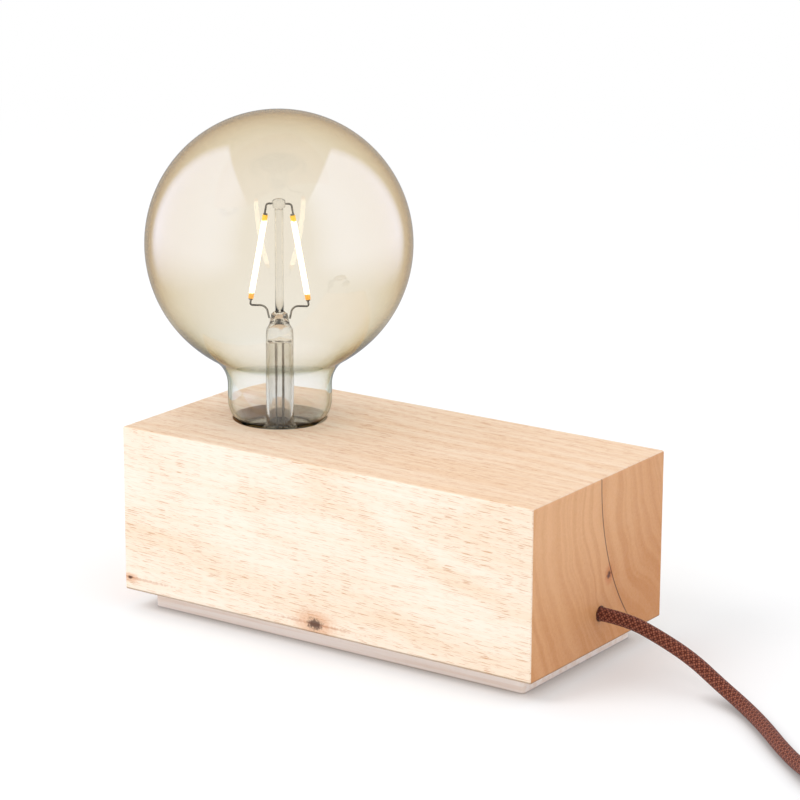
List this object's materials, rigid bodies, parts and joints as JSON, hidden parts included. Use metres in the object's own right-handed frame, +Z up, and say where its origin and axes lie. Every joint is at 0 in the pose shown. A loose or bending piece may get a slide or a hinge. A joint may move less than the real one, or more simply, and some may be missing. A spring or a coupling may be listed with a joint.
{
  "type": "table lamp",
  "caption": "Low table lamp: a solid hardwood block on an inset base plate, with a bare globe filament bulb screwed into its top and a textile cord with a hand switch.",
  "frame": {"origin": "centre of the base plate's underside, on the surface the lamp stands on", "axes": "+Z up, +X along the block towards the end the cord leaves, -Y the front"},
  "size_m": [0.4926, 0.1185, 0.1787],
  "materials": {
    "hardwood": "oiled, fine pores",
    "pale_wood": "whitewashed",
    "zinc_steel": "zinc plated",
    "black_plastic": "moulded, fine grain",
    "black_gloss": "moulded, polished",
    "ceramic_white": "fired, unglazed",
    "brass": "stamped and turned",
    "nickel": "nickel plated brass",
    "tinted_glass": "blown, amber tint",
    "clear_glass": "drawn, clear",
    "filament": "phosphor coated, lit",
    "board": "laminate with solder mask",
    "capacitor": "shrink sleeve",
    "cord_textile": "braided, reddish brown",
    "core_brown": "extruded insulation",
    "core_blue": "extruded insulation",
    "black_rubber": "moulded"
  },
  "bodies": {
    "stand": {"wood_block": "hardwood", "base_plate": "pale_wood", "plate_screw_1": "zinc_steel", "plate_screw_2": "zinc_steel", "plate_screw_3": "zinc_steel", "plate_screw_4": "zinc_steel", "holder_shell": "black_plastic", "holder_insert": "ceramic_white", "holder_sleeve": "brass", "live_contact": "brass", "terminal_screw_1": "brass", "neutral_contact": "brass", "terminal_screw_2": "brass", "holder_nipple": "brass", "holder_nut": "zinc_steel", "holder_strap": "zinc_steel", "strap_screw_1": "zinc_steel", "strap_screw_2": "zinc_steel", "cord_grip": "black_plastic", "grip_screw_1": "zinc_steel", "grip_screw_2": "zinc_steel", "cord_inside": "cord_textile", "live_wire": "core_brown", "neutral_wire": "core_blue", "cord_to_switch": "cord_textile", "cord_to_coil": "cord_textile", "cord_to_plug": "cord_textile", "cord_coil": "cord_textile", "switch_base": "black_plastic", "switch_cover": "black_plastic", "rocker_pin": "zinc_steel", "switch_screw_1": "zinc_steel", "switch_screw_2": "zinc_steel", "switch_relief_1": "black_rubber", "switch_relief_2": "black_rubber", "switch_contact_1": "brass", "switch_contact_2": "brass", "switch_neutral_core": "core_blue", "switch_live_core_1": "core_brown", "switch_live_core_2": "core_brown", "plug_body": "black_plastic", "plug_pin_1": "brass", "plug_pin_2": "brass"},
    "contact_button": {"cap_contact": "nickel"},
    "bulb": {"bulb_cap": "nickel", "cap_insulator": "black_plastic", "globe": "tinted_glass", "stem": "clear_glass", "stem_rod": "clear_glass", "support_wire_1": "zinc_steel", "support_wire_2": "zinc_steel", "lead_wire_1": "zinc_steel", "lead_wire_2": "zinc_steel", "inner_lead_1": "zinc_steel", "inner_lead_2": "zinc_steel", "filament_1": "filament", "filament_2": "filament", "driver_board": "board", "driver_capacitor": "capacitor"},
    "rocker": {"switch_rocker": "black_gloss"}
  },
  "joints": [
    {"name": "bulb_lift", "type": "slide", "parent": "stand", "child": "contact_button", "axis": [0, 0, 1], "range_m": [0, 0.0146]},
    {"name": "bulb_turn", "type": "hinge", "parent": "contact_button", "child": "bulb", "pos_m": [-0.048, 0, 0.0645], "axis": [0, 0, 1], "range_deg": [0, 1440]},
    {"name": "rocker_tilt", "type": "hinge", "parent": "stand", "child": "rocker", "pos_m": [0.272, -0.0585, 0.0144], "axis": [0, -1, 0], "range_deg": [0, 18]}
  ],
  "couplings": [
    {"joint": "bulb_lift", "follows": "bulb_turn", "m_per_rad": 0.00057757}
  ]
}
